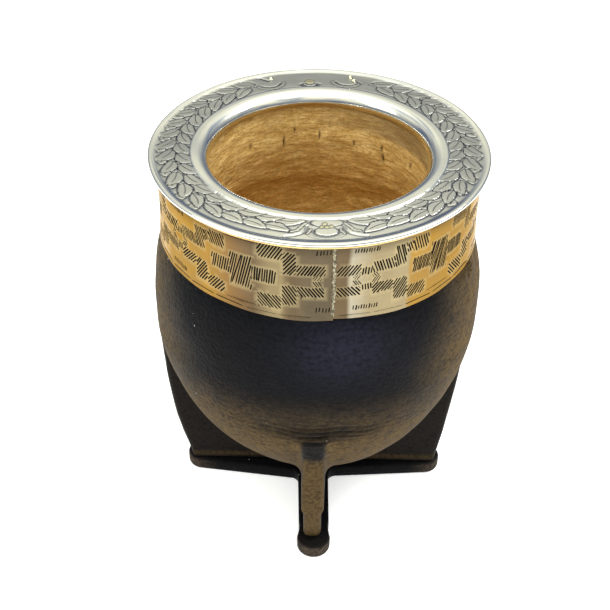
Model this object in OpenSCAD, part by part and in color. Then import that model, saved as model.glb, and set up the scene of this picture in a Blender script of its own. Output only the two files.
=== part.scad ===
// Mate cup: a calabash gourd in a moulded leather jacket with four fins on a cross-shaped sole,
// with an engraved metal band round its neck and a chased metal brim over its mouth.
// Millimetres. The origin is on the ground under the centre, +Z is up and the front faces -Y.
// Angles round the cup are counted from the front, and grow to the right.

/* [Leather ball] */
// Radius of the jacket at its widest
belly_r = 44.9; // [43.5:0.1:48]
// Drop from the widest ring to the lowest point of the ball
belly_drop = 54.2; // [48:0.1:60]
// Rise from the widest ring to the lower edge of the metal band
shoulder_rise = 25; // [20:0.5:30]
// Thickness of the leather
leather_t = 1.8; // [1:0.1:2.5]
// Height of leather that is tucked in behind the band
leather_tuck = 5; // [2:0.5:7]

/* [Gourd] */
// Thickness of the gourd's wall
gourd_t = 5; // [3:0.5:7]
// Thickness of the gourd's neck
neck_t = 3.95; // [2:0.05:5]
// Height over which the gourd's inside narrows to its neck
throat_rise = 8; // [4:0.5:14]
// Gap between the gourd's mouth and the skirt of the brim's lip
mouth_gap = 0.15; // [0.05:0.05:0.5]

/* [Fins] */
// Thickness of a fin
fin_t = 6.6; // [5:0.1:8]
// How much closer to the cup's axis than the widest ring a fin's outer edge has its foot
fin_foot_in = 6.7; // [4:0.1:10]
// How far below the widest ring each fin leaves the ball: front, right, back, left
fin_top_drop = [16, 9, 12, 6]; // [0:0.5:25]
// How far each fin's outer edge bows out: front, right, back, left
fin_bow = [0.5, 0.3, 0.8, 2]; // [0:0.1:3]
// Bevel along a fin's edges
fin_bevel = 0.9; // [0.3:0.1:2]

/* [Sole] */
// Thickness of the sole
sole_t = 4.2; // [3:0.1:6]
// Clear height from the sole to the lowest point of the ball
ball_gap = 7.6; // [3:0.1:14]
// How far the sole reaches past the foot of a fin
sole_overhang = 1.2; // [0.5:0.1:3]
// Radius of the round tip of each arm
sole_tip_r = 4.8; // [4:0.1:6]
// Half-width of each arm where the arms cross: front, right, back, left
sole_root = [4.8, 7.4, 4.8, 8.6]; // [4:0.1:10]
// Fillet in the corners between the arms
sole_fillet = 2.5; // [1:0.1:5]

/* [Band] */
// How much smaller the band's radius is than the jacket's at its widest
neck_in = 2.9; // [2:0.1:4]
// Height of the band
band_h = 22.3; // [21:0.1:26]
// Thickness of the band's metal
band_t = 0.8; // [0.6:0.1:1.2]
// Depth of the engraved fields
engrave = 0.2; // [0.1:0.05:0.3]
// Angle of the soldered seam
seam_az = 5.5; // [0:0.5:20]
// Radius of the bead of solder along the seam
seam_r = 0.35; // [0.2:0.05:0.6]
// Radius of the gold wire under the brim
wire_r = 0.5; // [0.3:0.05:0.8]

/* [Stepped pattern] */
// Number of cells in the pattern
cells = 6; // [4:1:6]
// Length of the band outside the cells, beside the seam
spare_w = 9.5; // [6:0.5:14]
// Width of one step of the ribbons, and of half the cross's block
step_w = 4.6; // [3.5:0.1:5]
// Rise from one step of a ribbon to the next
step_rise = 2; // [1.5:0.1:2.2]
// Height of a ribbon
ribbon_h = 3.4; // [2.5:0.1:3.8]
// Height of the cross's block
cross_h = 8.2; // [6:0.1:10]
// Height of the cross's side arms
arm_h = 3.1; // [2:0.1:4]
// Reach of the cross's side arms from its middle
arm_reach = 8.8; // [7:0.1:10]
// Distance from the middle of the last knot to the seam
knot_gap = 1.5; // [1:0.1:3]
// Half-length of the dashes over and under each knot
dash_w = 3.4; // [2:0.1:5]

/* [Brim] */
// How far the brim reaches out over the band
brim_reach = 2; // [1.5:0.1:4]
// Width of the brim from its outer edge to the mouth
brim_w = 15.7; // [14:0.1:18]
// Radius of the rolled outer edge
edge_r = 0.65; // [0.5:0.05:1]
// Thickness of the brim's metal
brim_t = 0.8; // [0.6:0.1:1.2]
// Radius over which the lip rolls down into the mouth
lip_roll = 3.3; // [2:0.1:4]
// Width of the lip's flat part, outside its roll
lip_flat = 1.7; // [1:0.1:2.5]
// Height of the lip over the chased ground
lip_rise = 0.25; // [0.1:0.05:0.5]
// Width of the plain border inside the rolled edge
border_w = 1.1; // [0.6:0.1:2]
// Height of the plain border over the chased ground
border_rise = 0.65; // [0.3:0.05:1]
// Length of the straight skirt below the lip's roll
skirt_h = 0.6; // [0.3:0.1:1.5]

/* [Leaf wreath] */
// Angle of the wreath's front ornament
wreath_az = 3; // [-10:0.5:10]
// Number of leaf pairs in each of the two branches
leaf_pairs = 16; // [10:1:16]
// Angle from one leaf pair to the next
leaf_step = 8.9; // [8:0.1:9]
// Angle from the front ornament to the first leaf pair's root
leaf_start = 19; // [18:0.5:24]
// Length of a leaf
leaf_l = 7; // [5:0.1:7.2]
// Width of a leaf
leaf_w = 2.9; // [2:0.1:3]
// Height of a leaf over the chased ground
leaf_h = 0.6; // [0.3:0.05:0.8]
// Slant of the leaves to the stem
leaf_slant = 33; // [25:1:38]
// Depth of the vein cut along each leaf
vein = 0.2; // [0.1:0.05:0.3]
// Radius of the stem's round section
stem_w = 0.35; // [0.2:0.05:0.5]

/* [Hidden] */
$fn = 96;

// Depth by which joined shapes run into each other
overlap = 0.2;

belly_h = sole_t + ball_gap + belly_drop;
drop_power = 1.8;
rise_power = 3;
profile_steps = 18;
fin_foot_r = belly_r - fin_foot_in;
// How far a fin's edge stands out of the ball where it leaves it
fin_proud = 0.4;
fin_steps = 8;

band_r = belly_r - neck_in;
band_ri = band_r - band_t;
band_h0 = belly_h + shoulder_rise;
band_h1 = band_h0 + band_h;
// The shoulder is curved so that it runs in under the band's lower edge
rise = shoulder_rise / pow(1 - pow(band_ri / belly_r, rise_power), 1 / rise_power);

cell_w = (2 * PI * band_r - spare_w) / cells;
cell_az = arc_deg(cell_w);
// The pattern's middle line is a little above the band's
pattern_h = band_h0 + band_h / 2 + 0.4;
// The first knot lies beyond the spare length, to the right of the seam
pattern_az = seam_az + arc_deg(spare_w - knot_gap);
seam_clear = seam_r + overlap;
// Half-width of a cross's block
cross_w = 0.68 * step_w;
// Length of a ribbon from its knot to its first step
first_w = cell_w / 2 - 3 * step_w;
dash_h = 1;
dash_v = 8.4;
tie_w = [1.6, 2.8];

brim_r = band_r + brim_reach;
mouth_r = brim_r - brim_w;
gourd_mouth_r = mouth_r + brim_t + mouth_gap;
neck_r = gourd_mouth_r + neck_t;
ground_h = band_h1 + brim_t;
lip_h = ground_h + lip_rise;
roll_h = lip_h - lip_roll;
roll_r = mouth_r + lip_roll;
edge_mid = brim_r - edge_r;
border_in = edge_mid - border_w;
border_h = ground_h + border_rise;
// The stem runs a little inside the middle of the chased ground
stem_r = (roll_r + lip_flat + border_in) / 2 - 0.9;
leaf_gap = 0.6;
// Share of its height that a leaf falls from its middle to its sides
leaf_fall = 0.7;
// Angle that the stem runs on behind the last leaf pair
stem_tail = 3;
// Half-angles of the flowers' arcs: the front bowl and lobe, and the back eye and crescents
bowl_arc = 75;
lobe_arc = 55;
eye_arc = 45;
crescent_arc = 60;
// Angle of the back crescents from the back flower's middle
crescent_az = 16;

// Angle that an arc of length w takes on the band's outside
function arc_deg(w) = w / band_r * 180 / PI;

// Radius of the ball at height h, inset by t all round
function ball_r(h, t = 0) = let(
    d = h - belly_h,
    b = (d < 0 ? belly_drop : rise) - t,
    p = d < 0 ? drop_power : rise_power
  ) (belly_r - t) * pow(max(0, 1 - pow(min(1, abs(d) / b), p)), 1 / p);

// Outline of the ball from its lowest point up to height top, inset by t.
// The points are closest where the ball closes at the bottom.
function ball_outline(top, t) = let(b = belly_drop - t) concat(
    [for (i = [0:profile_steps]) let(h = belly_h - b * cos(90 * i / profile_steps)) [ball_r(h, t), h]],
    [for (i = [1:profile_steps / 2]) let(h = belly_h + (top - belly_h) * i / (profile_steps / 2)) [ball_r(h, t), h]]
  );

// Turns a child that points along +X to an angle counted from the front
module at_az(az) {
  rotate([0, 0, az - 90]) children();
}

// The ball up to height top, inset by t, with its flat top raised by extra
module ball(top, t, extra = 0) {
  rotate_extrude() polygon(concat(
    [[0, top + extra]],
    ball_outline(top, t),
    extra > 0 ? [[ball_r(top, t), top + extra]] : []
  ));
}

// Pipe with its wall from radius r0 to radius r1
module pipe(r0, r1, h0, h1) {
  rotate_extrude() translate([r0, h0]) square([r1 - r0, h1 - h0]);
}

// Section of the gourd's neck down to the belly, with its mouth's edge rounded to fit the brim's lip
module neck_section() {
  round_r = lip_roll - brim_t - mouth_gap;
  difference() {
    translate([0, belly_h]) square([neck_r, band_h1 - belly_h]);
    translate([gourd_mouth_r, roll_h]) difference() {
      translate([-overlap, 0]) square([round_r + overlap, round_r + overlap]);
      translate([round_r, 0]) circle(round_r);
    }
  }
}

// The room inside the gourd, which narrows to its neck
module hollow() {
  rotate_extrude() polygon(concat(
    [[0, band_h1 + overlap]],
    ball_outline(band_h0, leather_t + gourd_t),
    [[gourd_mouth_r, band_h0 + throat_rise], [gourd_mouth_r, band_h1 + overlap]]
  ));
}

module gourd() {
  color([0.78, 0.6, 0.33]) difference() {
    union() {
      ball(band_h0 + leather_tuck, leather_t);
      rotate_extrude() neck_section();
    }
    hollow();
  }
}

// Outline of one fin in the plane through the cup's axis
function fin_outline(top_drop, bow, inset) = let(
    top = belly_h - top_drop,
    top_r = ball_r(top) + fin_proud
  ) concat(
    [[0, top], [0, sole_t]],
    [for (i = [0:fin_steps]) let(s = i / fin_steps)
      [min(belly_r, fin_foot_r + (top_r - fin_foot_r) * s + 4 * bow * s * (1 - s)) - inset,
       sole_t + (top - inset - sole_t) * s]]
  );

module fin_plate(top_drop, bow, inset, t) {
  rotate([90, 0, 0]) linear_extrude(t, center = true) polygon(fin_outline(top_drop, bow, inset));
}

module fin(top_drop, bow) {
  hull() {
    fin_plate(top_drop, bow, fin_bevel, fin_t);
    fin_plate(top_drop, bow, 0, fin_t - 2 * fin_bevel);
  }
}

module leather_cover() {
  tuck_h = band_h0 + leather_tuck;
  color([0.12, 0.11, 0.12]) difference() {
    union() {
      ball(tuck_h, 0);
      for (i = [0:3]) at_az(90 * i) fin(fin_top_drop[i], fin_bow[i]);
    }
    ball(tuck_h, leather_t, overlap);
  }
}

// One arm of the sole, along +X
module sole_arm(root) {
  tip = fin_foot_r + sole_overhang - sole_tip_r;
  polygon([[0, -root], [tip, -sole_tip_r], [tip, sole_tip_r], [0, root]]);
  translate([tip, 0]) circle(sole_tip_r);
}

module sole() {
  color([0.08, 0.08, 0.09]) linear_extrude(sole_t)
    offset(r = -sole_fillet) offset(delta = sole_fillet)
      for (i = [0:3]) rotate(90 * i - 90) sole_arm(sole_root[i]);
}

// Place across the flat view of the band, for a length u along it from the view's middle
function across(u) = band_r * sin(arc_deg(u));

// Sinks a flat outline, drawn round the pattern's middle line, square into the band at angle az
module engraved(az) {
  at_az(az) translate([band_r / 2, 0, pattern_h]) rotate([90, 0, 90]) linear_extrude(band_r) children();
}

// A cross between the ribbons of a cell
module cross() {
  for (box = [[cross_w, cross_h], [arm_reach, arm_h]])
    translate([-across(box[0]), -box[1] / 2]) square([2 * across(box[0]), box[1]]);
}

// Outline of a ribbon from its knot over length reach, and on over a number of rising steps
function ribbon(reach, steps) = let(low = arm_h / 2) concat(
    [[0, low]],
    [for (i = [0:steps]) each [
      [reach + i * step_w, low + i * step_rise],
      if (i < steps) [reach + i * step_w, low + (i + 1) * step_rise]
    ]],
    [for (i = [steps:-1:0]) each [
      [reach + i * step_w, low + i * step_rise + ribbon_h],
      if (i > 0) [reach + (i - 1) * step_w, low + i * step_rise + ribbon_h]
    ]],
    [[0, low + ribbon_h]]
  );

// Half of a knot: an upper and a lower ribbon to one side, with a tie across them if they are long
module half_knot(side, reach, steps) {
  for (way = [-1, 1])
    polygon([for (p = ribbon(reach, steps)) [side * across(p[0]), way * p[1]]]);
  if (reach > tie_w[1])
    translate([side > 0 ? across(tie_w[0]) : -across(tie_w[1]), -arm_h / 2 - overlap])
      square([across(tie_w[1]) - across(tie_w[0]), arm_h + 2 * overlap]);
}

// A short dash over a knot and one under it
module dashes() {
  for (way = [-1, 1]) translate([-across(dash_w), way * dash_v - dash_h / 2])
    square([2 * across(dash_w), dash_h]);
}

// The stepped pattern round the whole band, as blocks that reach through its wall
module pattern() {
  for (i = [0:cells - 1]) {
    engraved(pattern_az + cell_az * (i + 0.5)) cross();
    engraved(pattern_az + cell_az * i) dashes();
  }
  for (i = [0:cells]) engraved(pattern_az + cell_az * i) {
    half_knot(-1, i > 0 ? first_w : spare_w - knot_gap - seam_clear, i > 0 ? 2 : 0);
    half_knot(1, i < cells ? first_w : knot_gap - seam_clear, i < cells ? 2 : 0);
  }
}

module side_band() {
  color([0.74, 0.7, 0.62]) {
    difference() {
      pipe(band_ri, band_r, band_h0, band_h1);
      intersection() {
        pipe(band_r - engrave, band_r + 1, band_h0, band_h1);
        pattern();
      }
    }
    // bead of solder, from above the lower edge to just under the gold wire
    at_az(seam_az) translate([band_r - seam_r / 3, 0, band_h0 + wire_r])
      cylinder(r = seam_r, h = band_h - 3 * wire_r - overlap);
  }
}

module trim_ring() {
  color([0.85, 0.65, 0.3]) rotate_extrude() translate([band_r + wire_r, band_h1 - wire_r]) circle(wire_r);
}

// Section of the brim: sheet metal from the rolled edge over the chased ground and down the lip
module brim_section() {
  // rolled edge and plain border
  translate([edge_mid, border_h - edge_r]) circle(edge_r);
  translate([border_in, band_h1]) square([border_w, border_rise + brim_t]);
  // chased ground and the lip's flat part
  translate([roll_r, band_h1]) square([border_in - roll_r + overlap, brim_t]);
  translate([roll_r, band_h1]) square([lip_flat, lip_rise + brim_t]);
  // lip, a quarter round that ends in a short skirt
  intersection() {
    translate([roll_r, roll_h]) difference() {
      circle(lip_roll);
      circle(lip_roll - brim_t);
    }
    translate([0, roll_h]) square([roll_r + overlap, lip_roll]);
  }
  translate([mouth_r, roll_h - skirt_h]) square([brim_t, skirt_h + overlap]);
}

// A leaf of length leaf_l along +X on the ground plane, domed across and with a cut vein
module leaf() {
  side_r = (leaf_l * leaf_l + leaf_w * leaf_w) / (4 * leaf_w);
  fall = leaf_h * leaf_fall;
  dome_r = (leaf_w * leaf_w / 4 + fall * fall) / (2 * fall);
  difference() {
    intersection() {
      translate([leaf_l / 2, 0, -overlap]) linear_extrude(leaf_h + 2 * overlap) intersection() {
        translate([0, side_r - leaf_w / 2]) circle(side_r);
        translate([0, leaf_w / 2 - side_r]) circle(side_r);
      }
      translate([-1, 0, leaf_h - dome_r]) rotate([0, 90, 0]) cylinder(r = dome_r, h = leaf_l + 2);
    }
    translate([-1, 0, leaf_h - vein]) rotate([45, 0, 0]) cube([leaf_l * 0.8, leaf_w, leaf_w]);
  }
}

// One branch of the wreath: its stem and its pairs of leaves, which point to the front ornament
module branch(side) {
  sweep = leaf_step * (leaf_pairs - 1) + stem_tail;
  start = wreath_az + side * leaf_start;
  at_az(side > 0 ? start : start - sweep) rotate_extrude(angle = sweep)
    translate([stem_r, ground_h]) circle(stem_w);
  for (i = [0:leaf_pairs - 1], out = [-1, 1])
    at_az(start + side * leaf_step * i)
      translate([stem_r, 0, ground_h])
        rotate(-side * (90 - out * leaf_slant)) translate([leaf_gap + stem_w, 0, 0]) leaf();
}

// A round boss of radius r that stands h over the ground
module boss(r, h) {
  ball = (r * r + h * h) / (2 * h);
  translate([0, 0, ground_h]) intersection() {
    translate([0, 0, h - ball]) sphere(ball);
    translate([0, 0, -overlap]) cylinder(r = r + 1, h = h + 1);
  }
}

// An arc of wire of radius r round the given middle, with its opening to the brim's axis or away from it
module arc(middle, r, half, outward) {
  translate([middle, 0, ground_h]) rotate((outward ? 180 : 0) - half) rotate_extrude(angle = 2 * half)
    translate([r, 0]) circle(stem_w);
}

// The flower at the front: a bowl under a pointed lobe, with four beads between them
module front_ornament() {
  at_az(wreath_az) translate([stem_r, 0, 0]) {
    arc(0.6, 3.4, bowl_arc, false);
    arc(3.4, 5.3, lobe_arc, true);
    for (bead = [[0.8, -1.7], [1, 0], [0.8, 1.7], [-0.6, -0.3]])
      translate([bead[0], bead[1], 0]) boss(0.5, 0.9);
  }
}

// The flower at the back: a large bead, and on either side an arc with a pair of small beads
module back_ornament() {
  at_az(wreath_az + 180) translate([stem_r, 0, 0]) {
    translate([-0.8, 0, 0]) boss(1.2, 1);
    arc(0.2, 2.4, eye_arc, true);
  }
  for (side = [-1, 1]) at_az(wreath_az + 180 + crescent_az * side) translate([stem_r, 0, 0]) {
    arc(1.3, 3.4, crescent_arc, true);
    for (bead = [[0.8, -side * 1.6], [2.2, -side * 2.6]])
      translate([bead[0], bead[1], 0]) boss(0.6, 0.8);
  }
}

module brim() {
  color([0.72, 0.74, 0.74]) {
    rotate_extrude() brim_section();
    branch(1);
    branch(-1);
    front_ornament();
    back_ornament();
  }
}

gourd();
leather_cover();
sole();
side_band();
trim_ring();
brim();
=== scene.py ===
# %% [markdown]
# # A mate cup with a chased metal brim
#
# A dried calabash is the bowl. A jacket of wet leather is moulded over it and pinched into four fins,
# which stand on a cross of sole leather. A hatched metal band hides the leather's upper edge, and a
# chased metal brim covers the mouth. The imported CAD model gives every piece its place; here each
# one gets the relief, grain and finish that a plain solid lacks.

import math

import bpy
import numpy as np
from mathutils import Matrix, Vector, noise
from mathutils.geometry import delaunay_2d_cdt


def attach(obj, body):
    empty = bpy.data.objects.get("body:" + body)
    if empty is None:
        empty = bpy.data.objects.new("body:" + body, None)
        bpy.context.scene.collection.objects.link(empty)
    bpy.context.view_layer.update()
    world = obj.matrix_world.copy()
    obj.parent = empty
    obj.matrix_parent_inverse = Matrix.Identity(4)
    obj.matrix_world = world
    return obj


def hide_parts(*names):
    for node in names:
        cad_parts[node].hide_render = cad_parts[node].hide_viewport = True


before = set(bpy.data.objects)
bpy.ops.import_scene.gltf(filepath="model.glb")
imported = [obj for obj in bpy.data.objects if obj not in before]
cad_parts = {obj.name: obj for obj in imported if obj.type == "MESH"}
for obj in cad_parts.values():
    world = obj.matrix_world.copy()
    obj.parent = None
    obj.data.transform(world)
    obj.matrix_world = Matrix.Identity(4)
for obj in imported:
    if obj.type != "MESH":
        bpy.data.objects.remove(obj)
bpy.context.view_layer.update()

# %% [markdown]
# ## Camera, floor and light
#
# The photograph looks down on the cup from the front at about 38 degrees. Its camera was found from
# the ellipses of the brim: a camera's place, direction and roll, and one focal length. A direction is easier
# to read as three vectors than as Euler angles, so the camera's matrix is built from them.

# %% Camera
MM = 0.001
CAMERA_PLACE, LENS, FILM_WIDTH = (0, -0.2557, 0.2635), 67.5, 36
YAW, PITCH, ROLL = (math.radians(a) for a in (-0.722, 38.155, 0.648))
forward = Vector((math.sin(YAW) * math.cos(PITCH), math.cos(YAW) * math.cos(PITCH), -math.sin(PITCH)))
level = Vector((math.cos(YAW), -math.sin(YAW), 0))
upright = level.cross(forward)
right = level * math.cos(ROLL) + upright * math.sin(ROLL)
up = upright * math.cos(ROLL) - level * math.sin(ROLL)

bpy.ops.object.camera_add()
camera = bpy.context.object
camera.matrix_world = Matrix.Translation(CAMERA_PLACE) @ Matrix((right, up, -forward)).transposed().to_4x4()
camera.data.lens, camera.data.sensor_width, camera.data.clip_start = LENS, FILM_WIDTH, 0.01
bpy.context.scene.camera = camera
bpy.context.scene.view_settings.view_transform = "Standard"
print("camera:", LENS, "mm lens, looking down by", round(math.degrees(PITCH), 1), "degrees")

# %% [markdown]
# Polished metal shows its surroundings more than its own colour. A plain white tent would make it flat, so
# the room is bright above and darker near the horizon, with dim shapes in it. Three soft panels light it.

# %% Small helpers for nodes
def new_material(name):
    """A node material with its Principled shader, ready to be wired."""
    material = bpy.data.materials.new(name)
    material.use_nodes = True
    return material, Wires(material.node_tree)


class Wires:
    """Short ways to add and join nodes in one tree."""

    def __init__(self, tree):
        self.tree = tree

    def add(self, kind, inputs=(), **settings):
        node = self.tree.nodes.new("ShaderNode" + kind)
        for key, value in settings.items():
            setattr(node, key, value)
        for key, value in dict(inputs).items():
            self.feed(node.inputs[key], value)
        return node

    def feed(self, socket, value):
        if isinstance(value, bpy.types.NodeSocket):
            self.tree.links.new(value, socket)
        elif isinstance(value, bpy.types.Node):
            self.tree.links.new(value.outputs[0], socket)
        elif socket.type == "RGBA" and len(value) == 3:
            socket.default_value = (*value, 1)
        else:
            socket.default_value = value

    def place(self, scale=(1, 1, 1)):
        """Object coordinates, stretched by scale."""
        spot = self.add("TexCoord").outputs["Object"]
        return self.add("Mapping", {"Vector": spot, "Scale": scale})

    def axes(self):
        """Object coordinates as three numbers."""
        return self.add("SeparateXYZ", {0: self.place()}).outputs[:3]

    def mask(self, name):
        """A number that each vertex of the piece carries."""
        return self.add("Attribute", attribute_name=name).outputs["Fac"]

    def math(self, operation, a, b=0.0, c=0.0, clamp=False):
        return self.add("Math", {0: a, 1: b, 2: c}, operation=operation, use_clamp=clamp)

    def noise(self, vector, scale, detail=3, rough=0.5, distortion=0.0):
        return self.add("TexNoise", {
            "Vector": vector, "Scale": scale, "Detail": detail, "Roughness": rough, "Distortion": distortion})

    def span(self, value, low=0.0, high=1.0, start=0.0, end=1.0):
        """Turns the range from start to end into the range from low to high."""
        return self.add("MapRange", {
            "Value": value, "From Min": start, "From Max": end, "To Min": low, "To Max": high})

    def ramp(self, value, stops):
        """A colour or grey ramp through stops of (place, colour)."""
        node = self.add("ValToRGB", {"Fac": value})
        marks = node.color_ramp.elements
        while len(marks) < len(stops):
            marks.new(0.5)
        for mark, (place, colour) in zip(marks, stops):
            mark.position = place
            mark.color = (colour,) * 3 + (1,) if isinstance(colour, float) else (*colour, 1)
        return node

    def mix(self, share, a, b, blend="MIX"):
        node = self.add("Mix", data_type="RGBA", blend_type=blend)
        for socket, value in ((node.inputs[0], share), (node.inputs[6], a), (node.inputs[7], b)):
            self.feed(socket, value)
        return node.outputs[2]

    def coats(self, tone, *coats):
        """Lays coats over a tone one after the other, each a share and a colour."""
        for share, colour in coats:
            tone = self.mix(share, tone, colour)
        return tone

    def bump(self, height, strength, distance, normal=None):
        node = self.add("Bump", {"Height": height, "Strength": strength, "Distance": distance})
        if normal is not None:
            self.feed(node.inputs["Normal"], normal)
        return node

    def finish(self, **sockets):
        """Feeds the Principled shader. Underscores in a name stand for spaces."""
        shader = self.tree.nodes["Principled BSDF"]
        for key, value in sockets.items():
            self.feed(shader.inputs[key.replace("_", " ")], value)


# %% Floor and room
def clear_selection():
    """Nothing stays selected, so that an operator acts only on what comes next."""
    if bpy.context.mode != "OBJECT":
        bpy.ops.object.mode_set(mode="OBJECT")
    bpy.ops.object.select_all(action="DESELECT")


def pick(piece):
    clear_selection()
    piece.select_set(True)
    bpy.context.view_layer.objects.active = piece


clear_selection()
bpy.ops.mesh.primitive_plane_add(size=6)
floor = bpy.context.object
floor.name = "floor"
floor_finish, wires = new_material("pale_floor")
wires.finish(Base_Color=(0.97, 0.97, 0.97), Roughness=0.9, Emission_Color=(1, 1, 1), Emission_Strength=0.45)
floor.data.materials.append(floor_finish)

world = bpy.data.worlds.new("room")
bpy.context.scene.world = world
world.use_nodes = True
wires = Wires(world.node_tree)
way = wires.add("TexCoord").outputs["Generated"]
height = wires.math("MULTIPLY_ADD", wires.add("SeparateXYZ", {0: way}).outputs["Z"], 0.5, 0.5)
glow = wires.ramp(height, [
    (0.0, (0.9, 0.9, 0.9)), (0.49, (0.4, 0.4, 0.42)), (0.56, (0.14, 0.17, 0.25)), (0.66, (0.36, 0.39, 0.45)),
    (0.76, (0.76, 0.77, 0.74)), (0.84, (1.1, 1.1, 1.02)), (0.92, (1.6, 1.6, 1.5)), (1.0, (2.2, 2.2, 2.1))])
shapes = wires.ramp(wires.noise(way, 2.6, 2, 0.55), [
    (0.36, (0.40, 0.47, 0.63)), (0.46, (0.88, 0.89, 0.88)), (0.6, (1.2, 1.18, 1.05))])
wires.feed(world.node_tree.nodes["Background"].inputs["Color"], wires.mix(1.0, glow, shapes, "MULTIPLY"))


def soft_panel(name, place, size, power, colour=(1, 1, 1)):
    """A square light that faces the cup."""
    clear_selection()
    aim = (Vector((0, 0, 0.08)) - Vector(place)).to_track_quat("-Z", "Y").to_euler()
    bpy.ops.object.light_add(type="AREA", location=place, rotation=aim)
    lamp = bpy.context.object
    lamp.name = name
    lamp.data.size, lamp.data.energy, lamp.data.color = size, power, colour
    return lamp


soft_panel("panel_left", (-0.7, -0.25, 0.75), 0.5, 3)
soft_panel("panel_right", (0.7, 0.15, 0.95), 0.45, 7)
soft_panel("panel_front", (0.15, -0.9, 0.9), 1.1, 4, (0.95, 0.97, 1)).visible_glossy = False

# %% [markdown]
# ## Turned forms
#
# Half of this cup is turned: gourd, brim and wire all have one outline that is swept round the axis. By
# hand that is a chain of vertices, extruded one after the other, and one Spin. The doubles that meet at the
# seam and at the poles are merged, and then the faces are turned outwards.

# %% Draw an outline and spin it
SECTORS = 12
AXIS = dict(center=(0, 0, 0), axis=(0, 0, 1))


def edit(piece, kind="VERT", action="SELECT"):
    """Opens a piece's mesh, with all of it selected or nothing."""
    pick(piece)
    bpy.ops.object.mode_set(mode="EDIT")
    bpy.ops.mesh.select_mode(type=kind)
    bpy.ops.mesh.select_all(action=action)


def turn_faces(inside=False):
    """Turns the open mesh's faces outwards, or inwards, and closes it."""
    bpy.ops.mesh.select_all(action="SELECT")
    bpy.ops.mesh.normals_make_consistent(inside=inside)
    bpy.ops.object.mode_set(mode="OBJECT")


def draw_chain(name, path):
    """A new piece, open in edit mode: vertices joined along a path of places in mm."""
    clear_selection()
    bpy.ops.mesh.primitive_plane_add(size=MM)
    piece = bpy.context.object
    piece.name = name
    edit(piece)
    bpy.ops.mesh.merge(type="CENTER")
    bpy.ops.transform.translate(value=path[0] * MM)
    for step in np.diff(path, axis=0) * MM:
        bpy.ops.mesh.extrude_vertices_move(TRANSFORM_OT_translate={"value": step})
    bpy.ops.mesh.select_all(action="SELECT")
    return piece


def spin_round(name, outline, steps):
    """Spins an outline of (radius, height) points in mm round Z. A last point like the first closes it.

    One sector is spun, and then spun on as copies, which is far faster than one long spin.
    """
    piece = draw_chain(name, np.array([(r, 0, h) for r, h in outline]))
    bpy.ops.mesh.spin(steps=steps // SECTORS, angle=math.tau / SECTORS, **AXIS)
    bpy.ops.mesh.select_all(action="SELECT")
    bpy.ops.mesh.spin(steps=SECTORS - 1, dupli=True, angle=math.tau * (1 - 1 / SECTORS), **AXIS)
    bpy.ops.mesh.select_all(action="SELECT")
    bpy.ops.mesh.remove_doubles(threshold=MM / 500)
    turn_faces()
    bpy.ops.object.shade_smooth()
    return piece


def oval(centre, half_x, half_y, start, end, count=24):
    """Points on part of an oval, between two angles in degrees."""
    angles = np.radians(np.linspace(start, end, count))
    return [(centre[0] + half_x * math.cos(a), centre[1] + half_y * math.sin(a)) for a in angles]


# %% Read and move vertices
def spots(piece):
    """The piece's vertices as an array in mm."""
    flat = np.empty(len(piece.data.vertices) * 3, np.float32)
    piece.data.vertices.foreach_get("co", flat)
    return flat.reshape(-1, 3).astype(float) / MM


def set_spots(piece, points):
    piece.data.vertices.foreach_set("co", (points * MM).astype(np.float32).ravel())
    piece.data.update()


def write_mask(piece, name, values):
    """Keeps one number a vertex for the piece's material."""
    mask = piece.data.attributes.new(name, "FLOAT", "POINT")
    mask.data.foreach_set("value", np.asarray(values, np.float32))


def dress(piece, materials, slot_name, *nodes):
    """Gives a finished piece its materials, its body and the CAD nodes that it stands for."""
    for material in materials:
        piece.data.materials.append(material)
    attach(piece, "root")
    if nodes:
        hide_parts(*nodes)
    print(f"{piece.name}: {sum(len(p.vertices) - 2 for p in piece.data.polygons)} triangles")


# %% Measures and waves
def turn_deg(x, y):
    """Angle round the cup in degrees, from the front (-Y) and growing to the right."""
    return np.degrees(np.arctan2(x, -y))


def polar(r, turn):
    """A place in mm, from its radius and its angle from the front."""
    return np.array((r * math.sin(math.radians(turn)), -r * math.cos(math.radians(turn))))


def unit(value):
    return np.clip(value, 0, 1)


def soft_step(value, start, end):
    share = unit((value - start) / (end - start))
    return share * share * (3 - 2 * share)


def gauss(value, middle, width):
    return np.exp(-((value - middle) / width) ** 2)


def dome(q, power=2):
    """A rounded height, from 1 where q is 0 down to 0 where q is 1."""
    return np.sqrt(unit(1 - q ** power))


def ripple(points, length, seed, waves=14):
    """Smooth unevenness of about -1 to 1, from crossing waves of about the given length in mm."""
    rng = np.random.default_rng(seed)
    total = np.zeros(len(points))
    for _ in range(waves):
        way = rng.normal(size=3)
        way *= math.tau / length / np.linalg.norm(way) * rng.uniform(0.6, 1.5)
        total += np.cos(points @ way + rng.uniform(0, math.tau))
    return total / math.sqrt(waves)


# %% [markdown]
# ## The brim
#
# The brim is one sheet of nickel silver. Its outer edge is rolled over, a smooth lip rolls down into the
# mouth, and the ground between them is chased with punches. It is spun from one outline, finely enough for
# the punches' marks: about a fifth of a millimetre each way.

# %% Outline of the brim
GROUND, LIP_H, BORDER_H, UNDER = 114.1, 114.35, 114.46, 113.3
MOUTH_R, ROLL_R, LIP_OUT, BORDER_IN, EDGE_MID, EDGE_R = 28.3, 3.3, 33.3, 41.4, 43.4, 0.58
roll_mid = (MOUTH_R + ROLL_R, LIP_H - ROLL_R)


def sheet_height(r):
    """The brim's top between its lip and the crest of its border."""
    if r < LIP_OUT:
        return LIP_H - (LIP_H - GROUND) * max(0, (r - LIP_OUT + 0.5) / 0.5) ** 2
    slope = min(1, max(0, (r - BORDER_IN) / (EDGE_MID - BORDER_IN)))
    return GROUND + (BORDER_H - GROUND) * math.sin(slope * math.pi / 2) ** 1.2


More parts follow.
